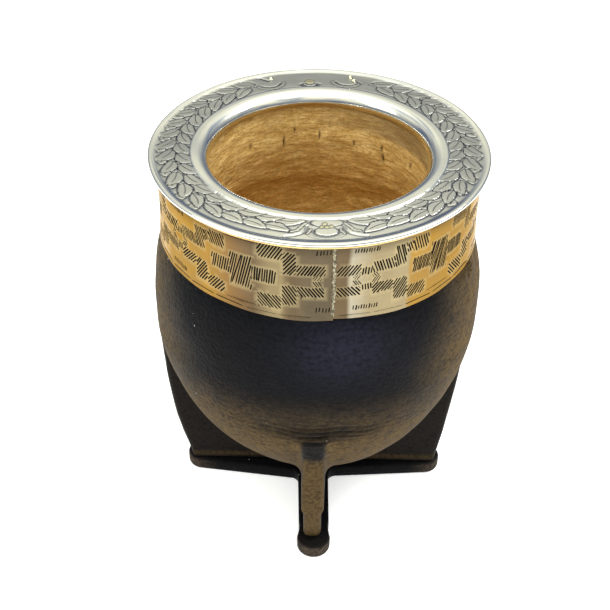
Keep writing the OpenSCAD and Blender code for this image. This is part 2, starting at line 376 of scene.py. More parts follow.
top_radii = [*np.linspace(31.7, 33.2, 6), *np.linspace(33.3, 42.1, 45), *np.linspace(42.2, 43.2, 8)]
brim_outline = (
    [(29.1, 110.45), (28.7, 110.3), (MOUTH_R, 110.6)]
    + oval(roll_mid, ROLL_R, ROLL_R, 180, 90, 13)
    + [(r, sheet_height(r)) for r in top_radii]
    + oval((EDGE_MID, BORDER_H - EDGE_R), EDGE_R, EDGE_R, 85, -90, 9)
    + [(42.4, UNDER), (34, UNDER)]
    + oval(roll_mid, ROLL_R - 0.8, ROLL_R - 0.8, 80, 180, 5)
    + [(29.1, 110.45)]
)
brim = spin_round("chased_brim", brim_outline, 1080)
print("brim:", len(brim.data.vertices), "vertices")

# %% [markdown]
# Two laurel branches run from a flower in front to one at the back. Each leaf could be a mesh of its own,
# but chased leaves grow out of the sheet. So the sheet's own vertices are raised, leaf after leaf: each is
# laid over what is there, and its outline is punched in round it. A mask keeps how dark each place has
# gone: tarnish stays in the punched lines, where no cloth reaches, and a painted dark blue reflection goes
# into the same mask round the leaves, on the plain ground at the sides and back, and under the rolled edge.

# %% Chasing tools
FLOWER_R = 36.9
sheet = spots(brim)
sheet_r = np.hypot(sheet[:, 0], sheet[:, 1])
field = np.nonzero((sheet_r > 33.0) & (sheet_r < 42.6) & (sheet[:, 2] > 113.9))[0]
ground_x, ground_y, ground_r = sheet[field, 0], sheet[field, 1], sheet_r[field]
raised, tarnish_and_reflection, gilt = np.zeros((3, len(field)))


def lay(inside, height):
    raised[inside] = height
    tarnish_and_reflection[inside] = 0
    gilt[inside] = 0


def punch_round(near, distance, width, depth, dark):
    """A groove just outside a form, deepest at its foot."""
    fade = unit(1 - distance / width)
    raised[near] -= depth * fade
    tarnish_and_reflection[near] = np.maximum(tarnish_and_reflection[near], dark * fade ** 0.5)


# %% Chase one leaf
def chase_leaf(root, heading, length, width, bend=0.0, tilt=0.0, cupped=0.0):
    """An almond leaf from its root towards heading, with a vein down its middle.

    Tilt makes one half higher than the other. A cupped leaf is rounder, with a thick rim round a hollow.
    """
    way = np.array((math.cos(heading), math.sin(heading)))
    dx, dy = ground_x - root[0], ground_y - root[1]
    close = np.nonzero(dx * dx + dy * dy < (length + 2) ** 2)[0]
    along = dx[close] * way[0] + dy[close] * way[1]
    share = unit(along / length)
    across = dy[close] * way[0] - dx[close] * way[1] - bend * np.sin(share * math.pi)
    half = np.maximum(width / 2 * np.sin(np.pi * share ** 0.82) ** (0.8 - 0.35 * cupped), 0.02)
    past = np.maximum(np.maximum(-along, along - length), 0)
    distance = np.hypot(np.maximum(np.abs(across) - half, 0), past)
    near = distance > 0
    punch_round(close[near], distance[near], 0.44, 0.24, 1.0)
    # Painted dark reflection: a wide, faint blue-grey ring on the ground round each leaf.
    punch_round(close[near], distance[near], 1.2, 0.06, 0.26 + 0.14 * cupped)
    inside = ~near
    q = np.abs(across[inside]) / half[inside]
    s = share[inside]
    pillow = dome(q, 2.6) * np.sin(np.pi * (0.12 + 0.8 * s))
    rim = gauss(q, 0.78, 0.17)
    height = 0.12 + 0.18 * s + 0.40 * (1 - 0.75 * cupped) * pillow + (0.09 + 0.33 * cupped) * rim
    vein = gauss(across[inside], 0, 0.17) * unit((0.88 - s) * 6)
    rib = gauss(q, 0.52, 0.13) * unit((0.75 - s) * 6) * unit(s * 8)
    relief = height - 0.2 * vein - 0.05 * rib
    lay(close[inside], relief + tilt * np.sign(across[inside]) * np.sin(q * math.pi))
    dull = 0.42 * unit(1 - height / 0.52)
    tarnish_and_reflection[close[inside]] = unit(np.maximum(0.85 * vein + 0.28 * rib, dull))


# %% Chase beads, pads and wires
def chase_form(distance, rise, width, depth, dark):
    """Lays a form where distance is 0 or less, and punches a groove round it."""
    near = (distance > 0) & (distance < width)
    punch_round(near, distance[near], width, depth, dark)
    lay(distance <= 0, rise[distance <= 0])


def chase_bead(centre, radius, height):
    """A grain of solder, which keeps a little of its gilding."""
    distance = np.hypot(ground_x - centre[0], ground_y - centre[1])
    chase_form(distance - radius, height * dome(distance / radius), 0.3, 0.08, 0.8)
    gilt[distance <= radius] = 1


def chase_pad(turn, centre, half_out, half_side, height, dark=1.0):
    """An oval pad, or a dark hollow where height is negative; centre is (outwards, to the right)."""
    outward = polar(1, turn)
    out = ground_x * outward[0] + ground_y * outward[1] - FLOWER_R - centre[0]
    side = ground_y * outward[0] - ground_x * outward[1] - centre[1]
    q = np.hypot(out / half_out, side / half_side)
    if height < 0:
        low = q < 1
        raised[low] = np.minimum(raised[low], height * (1 - q[low] ** 4))
        tarnish_and_reflection[low] = np.maximum(tarnish_and_reflection[low], dark * unit((1 - q[low]) * 4))
    else:
        chase_form((q - 1) * min(half_out, half_side), height * (1 - q ** 3), 0.42, 0.14, dark)


def chase_line(points, width, height, dark=0.9):
    """A raised wire along points, or a groove where height is negative."""
    for (x0, y0), (x1, y1) in zip(points, points[1:]):
        dx, dy = x1 - x0, y1 - y0
        share = unit(((ground_x - x0) * dx + (ground_y - y0) * dy) / (dx * dx + dy * dy))
        distance = np.hypot(ground_x - x0 - share * dx, ground_y - y0 - share * dy)
        rise = height * dome(distance / width)
        if height < 0:
            np.minimum(raised, rise, out=raised)
            np.maximum(tarnish_and_reflection, dark * unit(1.2 - distance / width), out=tarnish_and_reflection)
            continue
        higher = (distance < width) & (rise > raised)
        lay(higher, rise[higher])
        near = (distance >= width) & (distance < width + 0.35) & (raised < 0.05)
        punch_round(near, distance[near] - width, 0.35, 0.02, dark)


# %% Chase the wreath
# By a leaf's angle from the front flower: the lean of outer (1) and inner (-1) leaves in degrees, how far
# outside the stem their roots lie in mm, and how cupped they are
ANGLES = (15, 40, 62, 85, 120, 160)
LEAN = {1: (5, 4, 22, 42, 44, 26), -1: (13, 12, 22, 40, 40, 26)}
ROOT_OUT = {1: (1.5, 2.4, 1.5, 0.7, 0.6, 0.5), -1: (-1.0, -1.2, -0.8, -0.5, -0.5, -0.5)}
CUPPED = (0, 0.05, 0.5, 0.8, 0.7, 0.1)
WREATH_TURN, PAIRS, PAIR_STEP, FIRST_PAIR = 3.2, 17, 8.2, 20.5
LEAF_L, LEAF_W, SMALL_LEAF = 7.2, 3.1, (3.4, 2.7)


def stem_radius(turn):
    """The stems lie nearer the mouth in front than at the back."""
    return 36.9 - 1.1 * math.cos(math.radians(turn))


rng = np.random.default_rng(7)
for side in (-1, 1):
    turns = [WREATH_TURN + side * (FIRST_PAIR + PAIR_STEP * t) for t in np.linspace(-0.4, PAIRS - 0.6, 90)]
    stem = [polar(stem_radius(turn) + 0.3 * math.sin(math.radians(turn) * 20), turn) for turn in turns]
    chase_line(stem, 0.45, 0.3)
    for i in range(PAIRS):
        swell = math.sin(math.pi * (i + 0.5) / PAIRS) ** 0.7
        if swell > 0.62:
            turn = WREATH_TURN + side * (FIRST_PAIR + PAIR_STEP * (i + 0.75))
            heading = math.radians(turn - 90) - side * math.radians(68 + rng.uniform(-14, 14))
            chase_leaf(polar(39.2 + 0.3 * swell, turn), heading, *SMALL_LEAF, bend=0.3 * side, cupped=0.25)
        for out in (-1, 1):
            angle = FIRST_PAIR + PAIR_STEP * (i + (0.35 if out > 0 else 0))
            turn = WREATH_TURN + side * angle
            root = polar(stem_radius(turn) + np.interp(angle, ANGLES, ROOT_OUT[out]), turn)
            forwards = math.radians(turn - 90) - side * math.pi / 2
            lean = np.interp(angle, ANGLES, LEAN[out])
            heading = forwards + side * out * math.radians(lean + rng.uniform(-5, 5))
            cupped = float(np.interp(angle, ANGLES, CUPPED))
            if cupped < 0.4:
                chase_line([polar(stem_radius(turn), turn + side * 3), root], 0.36, 0.3, 0.6)
            length = (LEAF_L - 1.5 * cupped) * rng.uniform(0.92, 1.06)
            width = (LEAF_W + 0.7 * cupped) * rng.uniform(0.92, 1.08)
            chase_leaf(root, heading, length, width, -0.6 * side * out, rng.uniform(-0.04, 0.12), cupped)
print("raised from", round(raised.min(), 2), "to", round(raised.max(), 2), "mm")

# %% [markdown]
# The flower in front is an oval lobe over a round bowl, with four grains of solder between them and
# tendrils at its sides. At the back a single large bead sits in an eye, between two open crescents.

# %% Chase the two flowers
def local_line(turn, points):
    """Points given as (outwards, to the right) from the flowers' circle, as places on the brim."""
    outward = polar(1, turn)
    sideways = np.array((-outward[1], outward[0]))
    return [outward * (FLOWER_R + a) + sideways * b for a, b in points]


front, back = 2.8, 184.9
chase_pad(front, (0.9, 0.1), 2.7, 3.8, -0.16, 0.3)
chase_pad(front, (-2.5, 0.5), 1.55, 3.7, 0.22, 0.75)
chase_pad(front, (0.95, 0.2), 1.7, 2.7, 0.5, 0.8)
chase_line(local_line(front, oval((0.7, 0.1), 3.2, 4.9, -88, 88)), 0.28, 0.28, 0.4)
# A tendril's points on the right of the flower, its half-width, its height and its tarnish
TENDRILS = [
    ([(-1.2, 4.3), (0.6, 4.7), (1.9, 5.6), (2.7, 7.4), (2.9, 9.5)], 0.42, -0.22, 0.4),
    ([(-2.3, 4.6), (-0.9, 5.6), (0.6, 6.6), (0.9, 8.0)], 0.34, 0.36, 0.9),
    ([(0.2, 3.5), (1.2, 3.7), (2.0, 4.4)], 0.24, 0.2, 0.9),
]
for side in (-1, 1):
    for tendril, *punch in TENDRILS:
        chase_line(local_line(front, [(a, side * b) for a, b in tendril]), *punch)
for grain in ((-0.7, -0.9), (-0.6, 0.35), (-0.9, 1.4), (-1.9, -0.1)):
    chase_bead(local_line(front, [grain])[0], 0.52, 0.85)
chase_pad(back, (-2.2, 0), 1.35, 3.5, -0.2, 0.7)
chase_line(local_line(back, oval((-0.9, 0), 1.75, 1.75, 115, 245)), 0.3, 0.4)
chase_bead(local_line(back, [(-0.3, 0)])[0], 1.25, 1.0)
LEFT_CRESCENT, RIGHT_CRESCENT = 202.2, 168.9
for turn in (RIGHT_CRESCENT, LEFT_CRESCENT):
    chase_line(local_line(turn, oval((0.6, 0), 3.2, 3.9, 110, 250)), 0.55, 0.4)
    chase_line(local_line(turn, oval((1.2, 0), 2.9, 3.3, 120, 240)), 0.3, -0.16)
chase_line(local_line(LEFT_CRESCENT, [(5.0, 2.2), (3.6, 1.0), (2.2, -0.1)]), 0.5, -0.28)
chase_line(local_line(RIGHT_CRESCENT, [(3.3, -1.2), (1.2, -2.9), (0.0, -4.6)]), 0.26, -0.14)
for turn, *grain in ((RIGHT_CRESCENT, 3.1, -0.65), (RIGHT_CRESCENT, 1.1, -2.0), (LEFT_CRESCENT, 2.9, -1.1)):
    chase_bead(local_line(turn, [grain])[0], 0.55, 0.7)

# %% Finish the brim's mesh
edge = unit((ground_r - 33.1) / 0.3) * unit((42.1 - ground_r) / 0.6)
foot = gauss(ground_r, 33.5, 0.3) + gauss(ground_r, 41.9, 0.4)
# The plain ground is dulled a little everywhere; the rise at the sides and the back is a painted dark blue
# reflection.
dull_and_reflection = 0.10 + 0.26 * (ground_x / ground_r) ** 2 + 0.28 * unit(ground_y / ground_r) ** 3
tarnish_and_reflection = np.maximum(np.maximum(tarnish_and_reflection * edge, 0.16 * foot), (raised < 0.05) * edge * dull_and_reflection)
sheet[field, 2] += raised * edge - 0.03 * foot
sheet[:, 2] += 0.05 * ripple(sheet, 26, 3)
sheet[field, 2] += 0.022 * ripple(sheet[field], 7, 4) * edge
outer = sheet_r > 42.8
sheet[outer, :2] *= (1 - 0.0012 * (1 + ripple(sheet[outer], 34, 5)))[:, None]
set_spots(brim, sheet)
# Painted dark reflection on the underside of the rolled edge.
dark = 0.9 * unit((113.78 - sheet[:, 2]) / 0.2) * (sheet_r > 42)
dark[field] = tarnish_and_reflection
write_mask(brim, "tarnish_and_reflection", dark)
golden = np.zeros(len(sheet))
golden[field] = gilt
write_mask(brim, "gilt", golden)

# %% [markdown]
# Nickel silver is nearly neutral and a little warm. Three things make it real: grey-blue tarnish down in the
# punched lines, cloudy roughness where it has been handled, and hair scratches, a very stretched noise.
# The same grey-blue is painted on as a dark reflection round the leaves, on the ground at the sides and
# back, and under the rolled edge.

# %% Nickel silver
brim_finish, wires = new_material("nickel_silver")
place = wires.place()
mask = wires.mask("tarnish_and_reflection")
clouds = wires.ramp(wires.noise(place, 60, 4, 0.6), [(0.35, 0.0), (0.7, 1.0)])
scratches = wires.noise(wires.place((1, 0.12, 1)), 1500, 2, 0.7)
level = wires.ramp(mask, [(0.04, 0.0), (0.8, 1.0)])
pale = (0.86, 0.85, 0.78)
silver = wires.coats(pale, (clouds, (0.76, 0.76, 0.70)), (wires.mask("gilt"), (0.93, 0.84, 0.52)))
wires.finish(
    Base_Color=wires.mix(level, silver, (0.012, 0.015, 0.026)),
    Metallic=1.0,
    Roughness=wires.add("Mix", {0: level, 2: wires.span(clouds, 0.11, 0.18), 3: 0.45}),
    Normal=wires.bump(scratches, 0.05, 0.00008),
)
dress(brim, [brim_finish], "brim_metal", "brim")

# %% [markdown]
# ## The engraved band
#
# The band is a strip of sheet metal, bent round the neck and soldered where its ends meet. Its stepped
# crosses and ribbons aren't cut as fields: they are drawn with hundreds of short slanted cuts of a graver.
# Each cut is a narrow V with pointed ends. The strip is planned flat, in mm along and across, with
# every cut's outline and its deep middle line as edges; a Delaunay triangulation then fills in the sheet
# between them, and rolling it up is the last step.

# %% Plan the cuts of the graver
BAND_R, BAND_T, BAND_H0, BAND_H = 42.0, 0.8, 91.0, 22.3
SEAM_TURN, CELLS, CELL_W, KNOT_GAP, MIDDLE = 5.5, 6, 42.4, 1.5, 11.45
STRIP = math.tau * BAND_R
EDGE_LINE = -10.35
rng = np.random.default_rng(21)
# (x0, y0, x1, y1, half-width, sunk), with x along the strip from the seam and y up from its middle
cuts = []


def hatch(x0, x1, low, high, slant, pitch=0.68, half=0.21, sunk=0.1):
    """A box filled with slanted cuts; slant is how far a cut leans to the right for each mm of height."""
    middle, spread = (low + high) / 2, abs(slant) * (high - low) / 2
    count = max(1, round((x1 - x0 + 2 * spread) / (pitch * math.hypot(1, slant))))
    for i in range(count):
        x = x0 - spread + (i + 0.5) * (x1 - x0 + 2 * spread) / count + rng.normal(0, 0.04)
        lean = slant + rng.normal(0, 0.025)
        bottom, top = low - rng.uniform(-0.1, 0.25), high + rng.uniform(-0.1, 0.25)
        if abs(lean) > 0.05:
            at_sides = sorted((side - x) / lean + middle for side in (x0 - 0.1, x1 + 0.1))
            bottom, top = max(bottom, at_sides[0]), min(top, at_sides[1])
        if top - bottom > 0.7:
            cuts.append((x + lean * (bottom - middle), bottom, x + lean * (top - middle), top,
                         half * rng.uniform(0.82, 1.1) * min(1, (top - bottom) / 1.6), sunk))


# Steps of the four ribbons between two knots, by the way they go from their knot, right or left and up or
# down: each is (near, far, low, high, slant), away from the knot and from the band's middle
RIBBONS = {
    (1, 1): [(1.5, 7.1, 1.4, 4.7, -0.35), (7.3, 10.2, 1.4, 7.7, -0.3), (10.4, 11.8, 4.7, 7.9, -0.4),
             (12.0, 16.5, 4.4, 8.5, -0.35)],
    (1, -1): [(1.4, 6.8, 1.7, 4.7, 0.95), (7.0, 10.8, 2.0, 7.9, 0.7), (11.0, 16.3, 5.1, 8.7, 0.8)],
    (-1, 1): [(0.6, 7.3, 1.4, 4.4, 0.6), (7.5, 10.6, 1.4, 7.7, 0.75), (10.8, 17.0, 5.4, 9.4, 0.6)],
    (-1, -1): [(0.8, 7.1, 1.9, 4.7, -0.75), (7.3, 10.8, 1.8, 7.4, -0.7), (11.0, 17.0, 5.1, 9.0, -0.9)],
}
# The cross between two knots: (left, right, low, high, slant) from its middle
CROSS = [(-8.4, -3.1, -2.0, 2.2, 0.22), (-2.9, 2.9, -5.0, 4.7, 0.25), (3.1, 9.0, -2.0, 2.1, 0.1)]


def knot_hatching(knot):
    """The middle of a knot: short cuts over and under a bright diamond, and a tie at each side."""
    if knot < STRIP - CELL_W / 2:
        hatch(knot - 1.3, knot + 1.3, 1.2, 3.2, 0.1)
        hatch(knot - 1.3, knot + 1.3, -3.2, -1.5, -0.1)
    for side in (-1, 1):
        for low, high, slant in ((0.1, 1.3, -0.7), (-1.6, -0.1, 0.7)):
            hatch(knot + side * 2.4 - 1.0, knot + side * 2.4 + 1.0, low, high, side * slant, 0.55, 0.15)


FIRST_KNOT, TICKS_Y, LINE_Y = STRIP - KNOT_GAP - CELLS * CELL_W, 8.3, 8.95
for i in range(CELLS + 1):
    knot_hatching(FIRST_KNOT + i * CELL_W)
for i in range(CELLS):
    knot = FIRST_KNOT + i * CELL_W
    for (way, rise), steps in RIBBONS.items():
        start = knot if way > 0 else knot + CELL_W
        for near, far, low, high, slant in steps:
            hatch(*sorted((start + way * near, start + way * far)), *sorted((rise * low, rise * high)), slant)
    middle = knot + CELL_W / 2 - 0.3
    for x0, x1, low, high, slant in CROSS:
        hatch(middle + x0, middle + x1, low, high, slant, 0.54 if i == 0 else 0.64)
    for way in (-1, 1):
        cuts.append((middle - 4.3, way * LINE_Y, middle + 4.3, way * LINE_Y, 0.07, 0))
        hatch(knot - 3.3, knot + 3.0, way * TICKS_Y - 0.65, way * TICKS_Y + 0.55, 0.15, 0.66, 0.2, 0)
hatch(0.7, FIRST_KNOT - 1.6, 1.4, 4.3, 0.75)
hatch(0.7, FIRST_KNOT - 1.6, -4.7, -1.9, -0.8)
for way in (-1, 1):
    hatch(STRIP - 4.4, STRIP - 0.6, way * TICKS_Y - 0.6, way * TICKS_Y + 0.6, 0.1, 0.72, 0.17, 0)
for x in np.arange(1, STRIP - 9, 8.6):
    half = 0.13 if 18 < x < STRIP - 24 else 0.05
    cuts.append((x, EDGE_LINE + rng.normal(0, 0.03), x + 8.5, EDGE_LINE + rng.normal(0, 0.03), half, 0))
cuts = [c for c in cuts if min(c[0], c[2]) > 0.4 and max(c[0], c[2]) < STRIP - 0.4]
print(len(cuts), "cuts of the graver")

# %% Lay the sheet out between the cuts
DEEP, GRID = 0.13, 1.1
# A cut's outline and its deep middle line, as shares of its length, its half-width and its depth
CUT_FORM = ((0, 0, 0), (0.12, 1, 0), (0.94, 1, 0), (1, 0, 0), (0.94, -1, 0), (0.12, -1, 0),
            (0.14, 0, 1), (0.92, 0, 1))
FULL_HALF = 0.19


def ring_edges(count, first=0):
    """Edges that join count vertices in a ring, the first one's number being first."""
    return [(first + i, first + (i + 1) % count) for i in range(count)]


def fill_in(points, edges):
    """Triangles between the edges of a flat plan, and which planned points each new point stands for."""
    filled = delaunay_2d_cdt([Vector(p) for p in points], edges, [], 0, 1e-5)
    return filled[0], filled[2], filled[3]


along = np.linspace(0, STRIP, round(STRIP / GRID) + 1)
across = np.linspace(-MIDDLE, BAND_H - MIDDLE, round(BAND_H / GRID) + 1)
rim = [(x, across[0]) for x in along[:-1]] + [(along[-1], y) for y in across[:-1]]
rim += [(x, across[-1]) for x in along[:0:-1]] + [(along[0], y) for y in across[:0:-1]]
inner_grid = np.array([(x, y) for x in along[1:-1] for y in across[1:-1]])
# Each planned point is (x, y, depth in its cut, how far its field lies below the strip)
plan, edges = [(x, y, 0.0, 0.0) for x, y in rim], ring_edges(len(rim))
keep = np.ones(len(inner_grid), bool)
for x0, y0, x1, y1, half, sunk in cuts:
    start, way = np.array((x0, y0)), np.array((x1 - x0, y1 - y0))
    length = np.linalg.norm(way)
    side = np.array((-way[1], way[0])) / length * half
    base = len(plan)
    plan += [(*(start + way * share + side * out), down * DEEP * half / FULL_HALF, sunk)
             for share, out, down in CUT_FORM]
    edges += ring_edges(6, base) + [(base, base + 6), (base + 6, base + 7), (base + 7, base + 3)]
    share = unit((inner_grid - start) @ way / length ** 2)
    keep &= np.linalg.norm(inner_grid - start - share[:, None] * way, axis=1) > half + 0.12
plan += [(x, y, 0.0, 0.0) for x, y in inner_grid[keep]]
points, faces, from_points = fill_in([p[:2] for p in plan], edges)
print("sheet:", len(points), "points,", len(faces), "faces")

# %% [markdown]
# Rolled up, the strip isn't a perfect pipe. It is a little waisted, the hatched fields lie a little lower
# than the plain sheet round them, and its lower edge lifts here and there. The inside is a plain copy of the
# outer rim, and quads along the rim close the strip to one solid.

# %% Roll the strip up
def roll_up(x, y, sink):
    """Places of the flat strip on the cup, sunk by so much under its outside."""
    turn = np.radians(SEAM_TURN) + x / BAND_R
    waist = -0.25 * np.cos(np.clip(y / 11.2, -1, 1) * math.pi / 2) + 0.12
    uneven = 0.07 * np.sin(x * 0.21 + 1) * np.cos(y * 0.3) + 0.05 * np.sin(x * 0.47 + y * 0.5)
    r = BAND_R + waist + uneven - sink
    lift = unit(-y / MIDDLE) ** 2 * (0.25 * np.sin(x * 0.11 + 2) + 0.22 * np.exp(-x / 6))
    return np.stack((r * np.sin(turn), -r * np.cos(turn), BAND_H0 + MIDDLE + y + lift), 1)


xy = np.array([tuple(p) for p in points])
sink = np.array([max((plan[i][2] for i in sources), default=0.0) for sources in from_points])
field_sink = np.array([max((plan[i][3] for i in sources), default=0.1) for sources in from_points])
field_sink[xy[:, 0] < 6] *= 0.6
outside = roll_up(xy[:, 0], xy[:, 1], sink + field_sink)
where = {source: i for i, sources in enumerate(from_points) for source in sources}
loop = [where[i] for i in range(len(rim))]
rim_x, rim_y = np.array(rim).T
inside = roll_up(rim_x, rim_y, BAND_T + 0.3)
shift = len(outside)
all_faces = [tuple(f) for f in faces]
all_faces += [tuple(shift + i for i in reversed(f)) for f in fill_in(rim, ring_edges(len(rim)))[1]]
all_faces += [(loop[b], loop[a], shift + a, shift + b) for a, b in ring_edges(len(rim))]
strip_mesh = bpy.data.meshes.new("engraved_band")
strip_mesh.from_pydata([tuple(p * MM) for p in np.vstack((outside, inside))], [], all_faces)
band = bpy.data.objects.new("engraved_band", strip_mesh)
bpy.context.scene.collection.objects.link(band)
write_mask(band, "hatched", np.concatenate((field_sink, np.zeros(len(inside)))) * 10)
in_cut = np.zeros(len(all_faces), np.int32)
in_cut[: len(faces)] = [int(any(sink[v] > 0 for v in f)) for f in faces]
print("cut faces:", int(in_cut.sum()))

# %% Solder bead over the seam
BEAD_R, BEAD_HALF, BEAD_MIDDLE = 0.5, 10.3, 10.9


def lump(a, b, h):
    """Two sizes of lumps, at a place round the bead and along it."""
    return noise.noise(Vector((a * 1.2, b * 1.2, h * 14))) + 0.5 * noise.noise(Vector((a * 3, b * 3, h * 31)))


clear_selection()
bpy.ops.mesh.primitive_uv_sphere_add(segments=14, ring_count=110, radius=MM)
bead = bpy.context.object
bead.name = "solder_bead"
ball = spots(bead)
level = np.arcsin(np.clip(ball[:, 2], -1, 1)) / (math.pi / 2)
girth = BEAD_R * unit((1 - np.abs(level)) * 12) ** 0.5
around = ball[:, :2] / np.maximum(np.hypot(ball[:, 0], ball[:, 1]), 1e-6)[:, None]
lumps = np.array([lump(a, b, h) for (a, b), h in zip(around, level)])
ball[:, :2] = around * (girth * (1 + 0.55 * lumps))[:, None]
ball[:, 2] = level * BEAD_HALF
ball += np.array((*polar(BAND_R - 0.2, SEAM_TURN), BAND_H0 + BEAD_MIDDLE))
set_spots(bead, ball)
bpy.ops.object.shade_smooth()

# %% [markdown]
# The band is smoky and pale in front and golden at the sides. Its gilding is fresher at the sides, and the
# smoky, dull and pale patches in front are also painted reflections of the room in the uneven sheet. So its
# tone is a ramp on the turn round the cup, and noise makes the borders of the tones ragged. The hatched
# fields are lightened to a yellow cream, a painted highlight on the ridges between the cuts; the top of the
# band is darkened as a painted shadow of the brim; and the cuts are dark with old polish.

# %% Gilded band metal
SIDE_GOLD, GOLD, TAN = (0.17, 0.085, 0.010), (0.29, 0.162, 0.032), (0.165, 0.092, 0.037)
DULL, CREAM, SMOKY = (0.10, 0.068, 0.038), (0.20, 0.155, 0.082), (0.078, 0.062, 0.04)
BRIGHT, PALE = (0.33, 0.295, 0.22), (0.26, 0.208, 0.12)
# The band's tones by the turn in degrees: worn and fresher gilding, with painted reflections of the room
TONES_AND_REFLECTIONS = [(-80, SIDE_GOLD), (-40, GOLD), (-28, TAN), (-21, DULL), (-15, CREAM), (-10.8, CREAM), (-9.5, DULL),
         (-2, SMOKY), (5.2, SMOKY), (5.6, DULL), (10.5, DULL), (11.2, BRIGHT), (18, PALE), (31, PALE),
         (32.5, GOLD), (80, SIDE_GOLD)]


def turn_share(wires, wobble):
    """The angle round the cup from Object coordinates: 0.5 in front, growing to the right, 0 and 1 behind."""
    x, y, _ = wires.axes()
    turn = wires.math("ARCTAN2", x, wires.math("MULTIPLY", y, -1.0))
    share = wires.math("MULTIPLY_ADD", turn, 1 / math.tau, 0.5 - wobble / 2)
    return wires.math("MULTIPLY_ADD", wires.noise(wires.place(), 70, 2), wobble, share)


def band_metal(name, dark):
    material, wires = new_material(name)
    clouds = wires.ramp(wires.noise(wires.place(), 80, 3, 0.6), [(0.4, 0.0), (0.65, 1.0)])
    shade = wires.ramp(turn_share(wires, 0.008), [((turn + 180) / 360, colour) for turn, colour in TONES_AND_REFLECTIONS])
    shade = wires.coats(
        shade,
        (wires.math("MULTIPLY", clouds, 0.25), (0.20, 0.15, 0.09)),
        # Painted highlight: the hatched fields are lightened, standing in for light on the ridges between the
        # cuts.
        (wires.math("MULTIPLY", wires.mask("hatched"), 0.35, clamp=True), (0.42, 0.34, 0.18)),
        # Painted shadow of the brim: the band's top darkens towards the brim.
        (wires.span(wires.axes()[2], 0.0, 0.55, 0.1088, 0.1118), (0.045, 0.034, 0.02)),
    )
    if dark:
        shade = wires.mix(0.99, shade, (0.004, 0.0035, 0.003))
    grain = wires.noise(wires.place((1, 1, 14)), 700, 2, 0.6)
    wires.finish(Base_Color=shade, Metallic=0.0 if dark else 1.0, Specular_IOR_Level=0.1 if dark else 0.5,
                 Specular_Tint=(0.90, 0.76, 0.55, 1.0), Normal=wires.bump(grain, 0.06, 0.0001),
                 Roughness=0.8 if dark else wires.span(clouds, 0.2, 0.34))
    return material


pick(band)
dress(band, [band_metal("band_sheet", False), band_metal("band_cuts", True)], "band_metal", "side_band")
band.data.polygons.foreach_set("material_index", in_cut)
bpy.ops.object.shade_smooth_by_angle(angle=math.radians(40))

# %% Solder finish
solder, wires = new_material("solder")
spotted = wires.ramp(wires.noise(wires.place(), 1400, 2), [(0.42, 0.0), (0.6, 1.0)])
wires.finish(Base_Color=wires.mix(spotted, (0.09, 0.08, 0.055), (0.34, 0.30, 0.21)), Metallic=1.0,
             Roughness=0.38, Normal=wires.bump(wires.noise(wires.place(), 1800, 2), 0.5, 0.0003))
dress(bead, [solder], "band_metal")

# %% [markdown]
# ## The gold wire
#
# A brass wire is soldered round the band, right under the brim. A torus is close to it, but a wire bent
# by hand wanders a little, so its rings are nudged by a long ripple.

# %% Bend the wire
WIRE_RING, WIRE_R, WIRE_H = 42.45, 0.5, 112.75
clear_selection()
bpy.ops.mesh.primitive_torus_add(major_radius=WIRE_RING * MM, minor_radius=WIRE_R * MM, major_segments=300,
    minor_segments=14, location=(0, 0, WIRE_H * MM))
wire = bpy.context.object
wire.name = "gold_wire"
bpy.ops.object.transform_apply(location=True, rotation=True, scale=True)
ring = spots(wire)
ring[:, 2] += 0.05 * ripple(ring * (1, 1, 0), 18, 9)
set_spots(wire, ring)
bpy.ops.object.shade_smooth()
brass, wires = new_material("brass_wire")
clouds = wires.ramp(wires.noise(wires.place(), 160, 3, 0.6), [(0.3, 0.0), (0.7, 1.0)])
wires.finish(Base_Color=wires.mix(clouds, (0.88, 0.66, 0.30), (0.62, 0.40, 0.15)), Metallic=1.0,
             Roughness=wires.span(clouds, 0.2, 0.4))
dress(wire, [brass], "gold_wire", "trim_ring")

# %% [markdown]
# ## The leather jacket
#
# Wet leather is pulled over the gourd and pinched together below it in four fins. Where a fin leaves the ball
# the leather turns in a soft fillet. A voxel remesh welds a spun ball and four blocks into one skin, but it
# leaves steps. So each vertex is then drawn on to the true form, which is written as a smooth distance
# function: the ball, the fins with rounded edges, and a soft union of them.

# %% The jacket's true form
BELLY_R, BELLY_H, DROP, DROP_POWER, RISE_POWER = 44.9, 66.0, 54.2, 1.8, 3.0
RISE = 25 / (1 - (41.2 / BELLY_R) ** RISE_POWER) ** (1 / RISE_POWER)
SOLE_T, FIN_T, FIN_FOOT = 4.2, 6.6, 38.2
FIN_DROP, FIN_BOW = (16, 9, 12, 6), (0.5, 0.3, 0.8, 2.0)
HEEL_H, HEEL_WEAR = 19.5, (3.4, 0.5, 0.8, 0.5)


def ball_radius(h, inset=0.0):
    """Radius of the ball at a height, as in the CAD source."""
    d = h - BELLY_H
    half, power = (DROP - inset, DROP_POWER) if d < 0 else (RISE - inset, RISE_POWER)
    return (BELLY_R - inset) * max(0.0, 1 - min(1.0, abs(d) / half) ** power) ** (1 / power)


def profile(heights, inset=0.0):
    """Outline points of the ball, or of a smaller ball inside it."""
    return [(ball_radius(h, inset), h) for h in heights]


def lower_heights(inset, count, start=0, end=90):
    """Heights between the ball's bottom and its middle, closest together at the bottom."""
    return [BELLY_H - (DROP - inset) * math.cos(math.radians(a)) for a in np.linspace(start, end, count)]


def blend_low(a, b, soft):
    """The lower of two distances, rounded where they cross."""
    near = unit(1 - np.abs(a - b) / soft)
    return np.minimum(a, b) - near * near * soft / 4


def blend_high(a, b, soft):
    return -blend_low(-a, -b, soft)


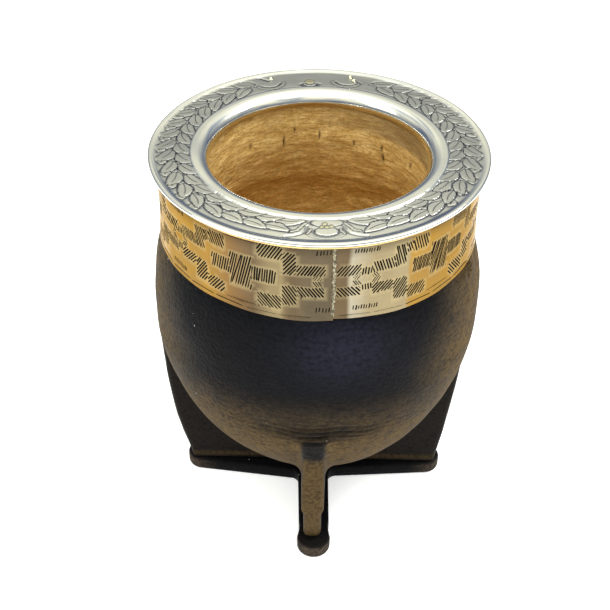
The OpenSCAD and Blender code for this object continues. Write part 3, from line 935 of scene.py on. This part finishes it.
def ball_distance(p):
    r = np.maximum(np.hypot(p[:, 0], p[:, 1]), 1e-3)
    d = p[:, 2] - BELLY_H
    half = np.where(d < 0, DROP, RISE)
    power = np.where(d < 0, DROP_POWER, RISE_POWER)
    a, b = r / BELLY_R, np.maximum(np.abs(d) / half, 1e-6)
    slope = np.hypot(power * a ** (power - 1) / BELLY_R, power * b ** (power - 1) / half)
    return (a ** power + b ** power - 1) / slope


def fin_distance(p, i):
    turn = math.radians(90 * i)
    out = p[:, 0] * math.sin(turn) - p[:, 1] * math.cos(turn)
    side = p[:, 0] * math.cos(turn) + p[:, 1] * math.sin(turn)
    top = BELLY_H - FIN_DROP[i]
    share = unit((p[:, 2] - SOLE_T) / (top - SOLE_T))
    foot, reach = FIN_FOOT, ball_radius(top) + 0.4
    outer = foot + (reach - foot) * share + 4 * FIN_BOW[i] * share * (1 - share)
    outer -= HEEL_WEAR[i] * unit((HEEL_H - p[:, 2]) / (HEEL_H - SOLE_T)) ** 2
    pinch = 0.5 * unit((p[:, 2] - 26) / 20)
    if i == 0:
        pinch += 0.75 * unit((HEEL_H - p[:, 2]) / 0.8)
    else:
        pinch -= 0.6 * unit((6.6 - p[:, 2]) / 1.4)
    flat_sides = np.abs(side) - FIN_T / 2 + pinch
    rim_cut = blend_high(out - np.minimum(outer, BELLY_R), flat_sides, 2.2)
    return blend_high(blend_high(rim_cut, p[:, 2] - top, 2.0), -out - 2, 0.1)


def jacket_distance(p):
    total = ball_distance(p)
    fins = fin_distance(p, 0)
    for i in (1, 2, 3):
        fins = np.minimum(fins, fin_distance(p, i))
    return np.maximum(blend_low(total, fins, 3.4), SOLE_T - p[:, 2])


# %% Weld ball and fins, and draw the skin on to the form
VOXEL, ROUNDS, REACH = 0.67, 5, 0.05
high_h = list(np.linspace(BELLY_H, 105, 16))[1:]
ball_outline = profile(lower_heights(0, 24) + high_h) + [(0, 105.2)]
jacket = spin_round("leather_jacket", ball_outline, 120)
blocks = []
for i in range(4):
    clear_selection()
    top = BELLY_H - FIN_DROP[i]
    bpy.ops.mesh.primitive_cube_add(size=MM, location=(0, -FIN_FOOT / 2 * MM, (SOLE_T + top) / 2 * MM),
        scale=(FIN_T, FIN_FOOT, top - SOLE_T))
    block = bpy.context.object
    bpy.ops.object.transform_apply(location=True, rotation=True, scale=True)
    corners = spots(block)
    upper = (corners[:, 2] > top - 1) & (corners[:, 1] < -1)
    corners[upper, 1] = -ball_radius(top) - 0.4
    turn = math.radians(90 * i)
    spun = np.array(((math.cos(turn), math.sin(turn)), (-math.sin(turn), math.cos(turn))))
    corners[:, :2] = corners[:, :2] @ spun
    set_spots(block, corners)
    blocks.append(block)
pick(jacket)
for block in blocks:
    block.select_set(True)
bpy.ops.object.join()
jacket.data.remesh_voxel_size = VOXEL * MM
bpy.ops.object.voxel_remesh()
skin = spots(jacket)
for _ in range(ROUNDS):
    distance = jacket_distance(skin)
    slope = np.stack([jacket_distance(skin + REACH * axis) - distance for axis in np.eye(3)], 1) / REACH
    skin -= (distance / np.maximum((slope ** 2).sum(1), 0.25))[:, None] * slope
skin[:, 2] = np.maximum(skin[:, 2], SOLE_T)
set_spots(jacket, skin)
off_form = float(np.abs(jacket_distance(skin)).max())
print("jacket:", len(skin), "vertices, off the form by", round(off_form, 3), "mm")

# %% [markdown]
# Leather that dried on a round gourd isn't perfectly smooth. It gathers in level wrinkles over the front
# fin, where it was pinched, it has long soft waves, and under the band at the right a torn scrap sticks out.

# %% Wrinkles and the torn scrap
WIDEST = 44.85
normals = np.stack([jacket_distance(skin + REACH * axis) - jacket_distance(skin - REACH * axis)
                    for axis in np.eye(3)], 1)
normals /= np.maximum(np.linalg.norm(normals, axis=1), 1e-6)[:, None]
skin_turn = turn_deg(skin[:, 0], skin[:, 1])
skin_h = skin[:, 2]
swell = 0.10 * ripple(skin, 30, 31) + 0.05 * ripple(skin, 11, 32)
over_fin = gauss(skin_turn, 2, 20) * gauss(skin_h, 53.5, 3.6)
folds = np.sin(skin_h * 3.1 + 0.04 * skin_turn + 1.6 * ripple(skin * (1, 1, 0.2), 13, 33))
swell += 0.42 * over_fin * (folds - 0.4)
crease = gauss(skin_turn, 0, 4.5) * gauss(skin_h, 50.2, 0.55)
swell -= 0.3 * crease
under_band = gauss(skin_turn, -5, 8) * gauss(skin_h, 90.3, 0.6)
swell += 0.25 * under_band
scrap = gauss(skin_turn, 67, 5.5) * gauss(skin_h, 89.5, 2.6)
ragged = np.array([noise.fractal(Vector(p) * 0.55, 0.8, 2.1, 4) for p in skin[scrap > 0.02]])
swell[scrap > 0.02] += scrap[scrap > 0.02] * (0.9 + 1.1 * ragged)
swell *= unit((skin_h - SOLE_T) / 3)
skin += normals * swell[:, None]
skin[:, :2] *= np.minimum(1, WIDEST / np.hypot(skin[:, 0], skin[:, 1]))[:, None]
skin[:, 2] = np.maximum(skin[:, 2], SOLE_T)
set_spots(jacket, skin)

# %% Where the dye is rubbed off, and where sheen and light from below are painted brown
on_fin = soft_step(ball_distance(skin), 0.6, 2.2)
away = np.abs(skin_turn)
# The brown at the sides, away from the front, and on the underside is partly rubbed dye and partly painted
# sheen and painted light from below; on the front fin it is rubbed dye.
start = np.where(skin_turn > 0, 27.0, 38.0) + 0.7 * np.clip(skin_h - 70, 0, 20)
at_sides = soft_step(away, start, start + 38) * (1 - 0.5 * soft_step(away, 110, 160))
below = soft_step(skin_h, 70, 44)
on_ball = np.maximum(at_sides, 0.9 * below * (1 - 0.75 * over_fin))
edge_on = on_fin * (away < 14) * soft_step(-normals[:, 1], -0.05, 0.3)
cap = soft_step(skin_h + 1.6 * ripple(skin, 4, 41), 40, 47)
beside_cap = gauss(away, 5.2, 1.6) * gauss(skin_h, 45, 4)
welt = on_fin * (away > 20) * gauss(skin_h, 6, 0.9)
rubbed_and_sheen = on_ball * (1 - on_fin) + 0.07 * on_fin * (1 - edge_on) + 0.72 * edge_on * (1 - cap)
rubbed_and_sheen = np.maximum(rubbed_and_sheen, np.maximum(0.9 * beside_cap, 0.35 * welt))
capped = soft_step(away, 5.2, 3.6) * soft_step(skin_h + 0.8 * ripple(skin, 3, 42), 42, 43.5) * (skin_h < 50.5)
rubbed_and_sheen *= 1 - 0.92 * capped
write_mask(jacket, "rubbed_and_sheen", unit(rubbed_and_sheen))
# Painted shade: darker in the valleys of the folds over the front fin, in the crease above it and in a thin
# line just under the band.
crease_shade = np.maximum(over_fin * soft_step(-folds, 0.0, 0.8), crease)
write_mask(jacket, "crease_shade", unit(crease_shade + 0.5 * gauss(skin_h, 91, 0.5)))
# Painted sheen: a cold blue patch on the front shoulder, under the band.
write_mask(jacket, "painted_blue_sheen", gauss(skin_turn, 9, 17) * gauss(skin_h, 82, 9))
write_mask(jacket, "smooth", np.maximum(on_fin, 0.6 * gauss(skin_turn, 0, 40) * soft_step(skin_h, 60, 72)))

# %% Open the neck and line the inside
TUCK_H, LEATHER_T = 96.0, 1.8
edit(jacket)
bpy.ops.mesh.bisect(plane_co=(0, 0, TUCK_H * MM), plane_no=(0, 0, 1), clear_outer=True, use_fill=False)
bpy.ops.object.mode_set(mode="OBJECT")
inner_h = lower_heights(LEATHER_T, 20) + list(np.linspace(BELLY_H, TUCK_H, 12))[1:]
lining = spin_round("lining", profile(inner_h, LEATHER_T), 120)
edit(lining)
turn_faces(inside=True)
pick(jacket)
lining.select_set(True)
bpy.ops.object.join()
edit(jacket, "EDGE", "DESELECT")
bpy.ops.mesh.select_non_manifold(extend=False, use_wire=False, use_boundary=True, use_multi_face=False,
    use_non_contiguous=False, use_verts=False)
bpy.ops.mesh.bridge_edge_loops()
turn_faces()
bpy.ops.object.shade_smooth()

# %% [markdown]
# The leather was dyed nearly black, with a cold blue sheen painted on where it shines, and has been rubbed
# back to brown at the front fin. The brown at its sides and underside is partly rubbed dye and partly painted
# sheen and light from below. Its grain is a fine cellular bump over a soft one, and a few pale specks lie on
# it.

# %% Dyed leather
def leather_finish(name, dye, rubbed_and_sheen, warm):
    """Dyed leather with grain; warm builds the share of brown from the tree: rubbed dye, and on the jacket
    also painted sheen.
    """
    material, wires = new_material(name)
    place = wires.place()
    smooth = wires.mask("smooth")
    patches = wires.ramp(wires.noise(place, 240, 5, 0.65), [(0.3, 0.5), (0.6, 1.0)])
    patches = wires.math("MAXIMUM", patches, wires.math("MULTIPLY", smooth, 0.88))
    share = wires.math("MULTIPLY", warm(wires), patches, clamp=True)
    hair_lines = wires.noise(wires.place((1, 1, 4.5)), 330, 4, 0.65)
    grained = wires.math("MULTIPLY_ADD", smooth, -0.9, 1.0)
    cracks = wires.math("MULTIPLY", wires.ramp(hair_lines, [(0.36, 0.6), (0.5, 0.0)]), grained)
    cells = wires.add("TexVoronoi", {"Vector": place, "Scale": 1150.0}, feature="SMOOTH_F1")
    cells = cells.outputs["Distance"]
    specks = wires.add("TexVoronoi", {"Vector": place, "Scale": 260.0})
    dots = wires.math("LESS_THAN", specks.outputs["Distance"], 0.05)
    rare = wires.math("GREATER_THAN", wires.add("SeparateXYZ", {0: specks.outputs["Color"]}), 0.72)
    tone = wires.coats(
        dye,
        (wires.mask("painted_blue_sheen"), (0.017, 0.018, 0.030)),
        (share, rubbed_and_sheen),
        (cracks, (0.004, 0.004, 0.004)),
        (wires.ramp(cells, [(0.3, 0.0), (0.75, 0.55)]), (0.003, 0.003, 0.004)),
        (wires.mask("crease_shade"), (0.003, 0.003, 0.003)),
        (wires.math("MULTIPLY", dots, rare), (0.42, 0.38, 0.34)),
    )
    soft = wires.bump(wires.noise(place, 420, 3), 0.15, 0.0006)
    bumped = wires.bump(hair_lines, wires.math("MULTIPLY", grained, 0.22), 0.0005, soft)
    wires.finish(
        Base_Color=tone,
        Roughness=wires.span(share, 0.38, 0.7),
        Normal=wires.bump(cells, 0.5, 0.00025, bumped),
        Specular_IOR_Level=0.03,
    )
    return material


def jacket_warmth(wires):
    return wires.mask("rubbed_and_sheen")


jacket_finish = leather_finish("dyed_leather", (0.0062, 0.0063, 0.0074), (0.130, 0.082, 0.031), jacket_warmth)
dress(jacket, [jacket_finish], "jacket_leather", "leather_cover")

# %% [markdown]
# ## The sole
#
# The sole is thick leather, cut to a cross with round ends and burnished at its edge. Its outline is drawn
# vertex by vertex, filled, pushed up to its thickness, and its edges are bevelled.

# %% Cut the sole
SOLE_REACH, TIP_R = 39.4, 4.8
ROOTS = (4.8, 7.4, 4.8, 8.6)
FILLET = 2.5
TIP_ASIDE = (0.45, 0, 0, 0)
WAIST_AT, WAIST = (28.5, 30.5, 32.5), (0.35, 0.65, 0.35)


def sole_outline():
    """The cross's outline: round tips, and a fillet in each corner between two arms."""
    tip_at = SOLE_REACH - TIP_R
    outline = []
    for i in range(4):
        out = polar(1, 90 * i)
        side = np.array((-out[1], out[0]))
        tip = out * tip_at + side * TIP_ASIDE[i]
        waist = [(at, TIP_R - cut) for at, cut in zip(WAIST_AT, WAIST)] if i == 0 else []
        outline += [out * at + side * (TIP_ASIDE[i] - half) for at, half in waist]
        for a in np.radians(np.linspace(-90, 90, 15)):
            outline.append(tip + TIP_R * (out * math.cos(a) + side * math.sin(a)))
        outline += [out * at + side * (TIP_ASIDE[i] + half) for at, half in reversed(waist)]
        this, following = ROOTS[i], ROOTS[(i + 1) % 4]
        corner = side * this * 0.96 + out * following * 0.96
        for share in np.linspace(0, 1, 7):
            turn = math.radians(90 * share)
            outline.append(corner + FILLET * (out * (1 - math.sin(turn)) + side * (1 - math.cos(turn))))
    return outline


sole = draw_chain("leather_sole", np.array([(x, y, 0) for x, y in sole_outline()]))
bpy.ops.mesh.edge_face_add()
bpy.ops.mesh.extrude_region_move(TRANSFORM_OT_translate={"value": (0, 0, SOLE_T * MM)})
turn_faces()
bevel = sole.modifiers.new("burnished_edge", "BEVEL")
bevel.width, bevel.segments, bevel.limit_method = 0.7 * MM, 3, "ANGLE"
bevel.angle_limit = math.radians(50)
bpy.ops.object.modifier_apply(modifier=bevel.name)
bpy.ops.object.shade_smooth_by_angle(angle=math.radians(40))


def sole_warmth(wires):
    """Rubbed brown only round the outer rim."""
    x, y, z = wires.axes()
    reach = wires.math("SQRT", wires.math("ADD", wires.math("POWER", x, 2.0), wires.math("POWER", y, 2.0)))
    far = wires.span(reach, 0.0, 1.0, 0.030, 0.039)
    return wires.math("MULTIPLY", far, wires.span(z, 0.1, 1.0, 0.0041, 0.0036))


sole_finish = leather_finish("sole_leather", (0.006, 0.006, 0.007), (0.085, 0.064, 0.046), sole_warmth)
dress(sole, [sole_finish], "sole_leather", "sole")

# %% [markdown]
# ## The gourd
#
# Only the gourd's inside shows: a fibrous, ochre wall, scraped out by hand. Its outline follows the CAD
# solid, and softens at the neck. The wall is finely divided, so that scraping marks and the
# pits between fibres are real dents.

# %% Spin the gourd
WALL = LEATHER_T + 5
BELLY_TOP, THROAT_TOP, THROAT_R, GOURD_NECK_R, NECK_FOOT = 74, 102, 29.25, 33.2, 96
inner_wall = profile(lower_heights(WALL, 60), WALL)
for h in np.linspace(67, 111, 70):
    ease = float(soft_step(h, BELLY_TOP, THROAT_TOP))
    inner_wall.append((ball_radius(min(h, 86), WALL) * (1 - ease) + THROAT_R * ease, h))
gourd_outline = (
    inner_wall
    + oval((30.9, 111.2), 1.65, 1.65, 180, 90, 5)
    + [(33.0, 112.9), (GOURD_NECK_R, 112.6), (GOURD_NECK_R, NECK_FOOT)]
    + profile([NECK_FOOT, *np.linspace(NECK_FOOT, BELLY_H, 10)[1:-1]], LEATHER_T)
    + profile(lower_heights(LEATHER_T, 16, 90, 0), LEATHER_T)
)
gourd = spin_round("calabash", gourd_outline, 540)
shell = spots(gourd)
shell_r, shell_h = np.hypot(shell[:, 0], shell[:, 1]), shell[:, 2]
wall_r = np.array([ball_radius(h, (WALL + LEATHER_T) / 2) if h < 92 else 31.0 for h in shell_h])
inner = (shell_r < wall_r) & (shell_h < 110.5) & (shell_h > BELLY_H - (DROP - WALL) - 0.01)

# %% Scrape and crack its wall
# Places of small cracks in the wall: turn, height, half-width and half-height in mm
CRACKS = [(-160, 99.6, 0.28, 1.7), (180, 101, 0.25, 1.3), (160.5, 99.5, 0.3, 0.9), (143.5, 100.2, 0.3, 1.0),
          (143, 96.9, 0.36, 1.4), (-139, 101, 0.25, 1.0), (121.5, 99.8, 0.4, 0.8), (-166, 103, 0.25, 0.6)]
dents, cracked = np.zeros((2, len(shell)))
for i in np.nonzero(inner)[0]:
    x, y, z = shell[i]
    dents[i] = 0.35 * noise.fractal(Vector((x * 0.12, y * 0.12, z * 0.3)), 0.7, 2.1, 4)
    dents[i] += 0.12 * noise.noise(Vector((x * 0.35, y * 0.35, z * 1.6)))
shell_turn = turn_deg(shell[:, 0], shell[:, 1])
for turn, h, half_wide, half_high in CRACKS:
    aside = (shell_turn - turn + 180) % 360 - 180
    mark = np.exp(-(aside * math.radians(30) / half_wide) ** 2 - ((shell_h - h) / half_high) ** 4)
    cracked = np.maximum(cracked, mark * inner)
push = np.clip(dents, -0.6, 0.6) * unit((110.5 - shell_h) / 4) + 0.35 * cracked
shell[:, :2] *= (1 + push / np.maximum(shell_r, 5))[:, None]
set_spots(gourd, shell)
write_mask(gourd, "cracked", unit(cracked))
# Painted shadow: the gourd wall darkens just under the lip at the right rear.
lip_shadow = soft_step(shell_h, 103.2, 104.6) * gauss(np.abs(shell_turn), 125, 42) * (shell_turn > 0)
write_mask(gourd, "lip_shadow", lip_shadow)

# %% Fibrous gourd wall
gourd_finish, wires = new_material("scraped_calabash")
place = wires.place()
low = wires.span(wires.axes()[2], 0.0, 1.0, 0.100, 0.045)
fibre = wires.noise(wires.place((1, 1, 4.5)), 210, 6, 0.7, 0.5)
blotch = wires.noise(wires.place((1, 1, 2.2)), 130, 7, 0.74, 0.8)
streak = wires.noise(wires.place((1, 1, 6)), 430, 4, 0.7)
grain = wires.noise(place, 1300, 3, 0.7)
tone = wires.ramp(fibre, [(0.34, (0.55, 0.34, 0.10)), (0.48, (0.82, 0.55, 0.19)), (0.62, (0.95, 0.71, 0.31))])
patchy = wires.ramp(blotch, [(0.45, 0.0), (0.54, 1.0)])
patchy = wires.math("MULTIPLY", patchy, wires.math("MULTIPLY_ADD", low, 0.35, 0.3))
tone = wires.coats(
    tone,
    (patchy, (0.45, 0.24, 0.045)),
    (wires.math("MULTIPLY", low, 0.4), (0.90, 0.58, 0.16)),
    (wires.ramp(streak, [(0.38, 0.6), (0.5, 0.0)]), (0.36, 0.20, 0.050)),
    (wires.ramp(grain, [(0.36, 0.5), (0.52, 0.0)]), (0.40, 0.235, 0.06)),
    (wires.math("MULTIPLY", wires.mask("lip_shadow"), 0.8), (0.27, 0.175, 0.07)),
    (wires.mask("cracked"), (0.05, 0.028, 0.010)),
)
bumps = wires.bump(fibre, 0.6, 0.0008, wires.bump(streak, 0.5, 0.0004))
bumps = wires.bump(grain, 0.4, 0.0003, bumps)
wires.finish(Base_Color=tone, Roughness=0.6, Normal=bumps, Specular_IOR_Level=0.2)
dress(gourd, [gourd_finish], "gourd", "gourd")
